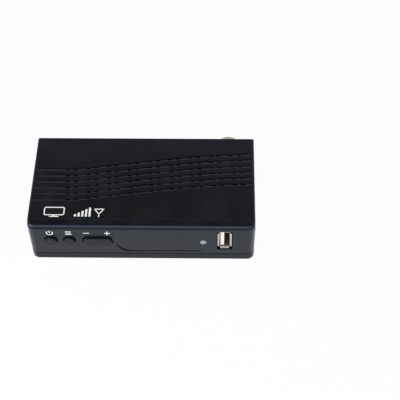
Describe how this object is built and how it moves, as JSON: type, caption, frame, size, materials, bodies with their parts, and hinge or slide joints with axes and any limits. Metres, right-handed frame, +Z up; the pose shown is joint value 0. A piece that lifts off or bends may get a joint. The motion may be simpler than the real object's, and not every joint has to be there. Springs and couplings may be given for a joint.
{
  "type": "television decoder box",
  "caption": "Low black set-top television decoder: folded steel cover with wave grooves and vents, moulded front panel with push buttons, rocker, lamp and data socket, sockets at the rear.",
  "frame": {"origin": "on the surface that the feet stand on, under the centre of the whole part's box", "axes": "+X to the right as seen from the front, +Y from the front panel to the rear sockets, +Z up"},
  "size_m": [0.122, 0.07, 0.0292],
  "materials": {
    "cover_paint": "satin black",
    "chassis_paint": "satin black",
    "panel_plastic": "satin gloss black",
    "key_plastic": "satin gloss black",
    "foot_rubber": "matt",
    "dark_steel": "black zinc",
    "bright_steel": "zinc",
    "standoff_brass": "turned",
    "board_laminate": "solder mask",
    "black_insulator": "moulded",
    "white_insulator": "moulded",
    "lamp_resin": "milky clear",
    "receiver_resin": "gloss",
    "nickel_plate": "nickel plate",
    "gold_plate": "gold flash",
    "tin_sheet": "tinned",
    "chip_resin": "matt",
    "pad_silicone": "soft",
    "sink_aluminium": "extruded",
    "capacitor_sleeve": "shrink sleeve",
    "ferrite": "sintered"
  },
  "bodies": {
    "case": {"top_cover": "cover_paint", "chassis": "chassis_paint", "rear_panel": "chassis_paint", "front_panel": "panel_plastic", "rubber_feet": "foot_rubber", "cover_screws": "dark_steel", "panel_screws": "bright_steel", "board_standoffs": "standoff_brass", "board_screws": "bright_steel", "main_board": "board_laminate", "rocker_pin": "bright_steel", "key_switches": "black_insulator", "switch_brackets": "tin_sheet", "status_lamp": "lamp_resin", "lamp_holder": "black_insulator", "infrared_receiver": "receiver_resin", "data_socket_shell": "nickel_plate", "data_socket_insulator": "white_insulator", "data_socket_contacts": "gold_plate", "tuner_frame": "tin_sheet", "tuner_lid": "tin_sheet", "tuner_chip": "chip_resin", "aerial_barrel": "nickel_plate", "aerial_insulator": "white_insulator", "aerial_contact": "gold_plate", "video_socket_shell": "nickel_plate", "video_socket_insulator": "black_insulator", "video_socket_contacts": "gold_plate", "jack_body": "black_insulator", "jack_bush": "nickel_plate", "power_inlet_body": "black_insulator", "power_inlet_pin": "nickel_plate", "processor": "chip_resin", "thermal_pad": "pad_silicone", "heat_sink": "sink_aluminium", "memory_chip": "chip_resin", "flash_chip": "chip_resin", "crystal": "tin_sheet", "capacitors": "capacitor_sleeve", "inductors": "ferrite", "regulators": "chip_resin"},
    "power_key": {"power_button": "key_plastic", "power_plunger": "black_insulator"},
    "menu_key": {"menu_button": "key_plastic", "menu_plunger": "black_insulator"},
    "rocker": {"channel_rocker": "key_plastic"},
    "down_contact": {"down_plunger": "black_insulator"},
    "up_contact": {"up_plunger": "black_insulator"}
  },
  "joints": [
    {"name": "power_press", "type": "slide", "parent": "case", "child": "power_key", "axis": [0, 1, 0], "range_m": [0, 0.0004], "stiffness_N_per_m": 2000},
    {"name": "menu_press", "type": "slide", "parent": "case", "child": "menu_key", "axis": [0, 1, 0], "range_m": [0, 0.0004], "stiffness_N_per_m": 2000},
    {"name": "rocker_tilt", "type": "hinge", "parent": "case", "child": "rocker", "pos_m": [-0.0234, -0.0301, 0.0166], "axis": [0, 0, 1], "range_deg": [-2.5, 2.5], "stiffness_Nm_per_rad": 0.15},
    {"name": "down_press", "type": "slide", "parent": "case", "child": "down_contact", "axis": [0, 1, 0], "range_m": [-0.00025, 0.00025]},
    {"name": "up_press", "type": "slide", "parent": "case", "child": "up_contact", "axis": [0, 1, 0], "range_m": [-0.00025, 0.00025]}
  ],
  "couplings": [
    {"joint": "down_press", "follows": "rocker_tilt", "m_per_rad": -0.0055},
    {"joint": "up_press", "follows": "rocker_tilt", "m_per_rad": 0.0055}
  ]
}
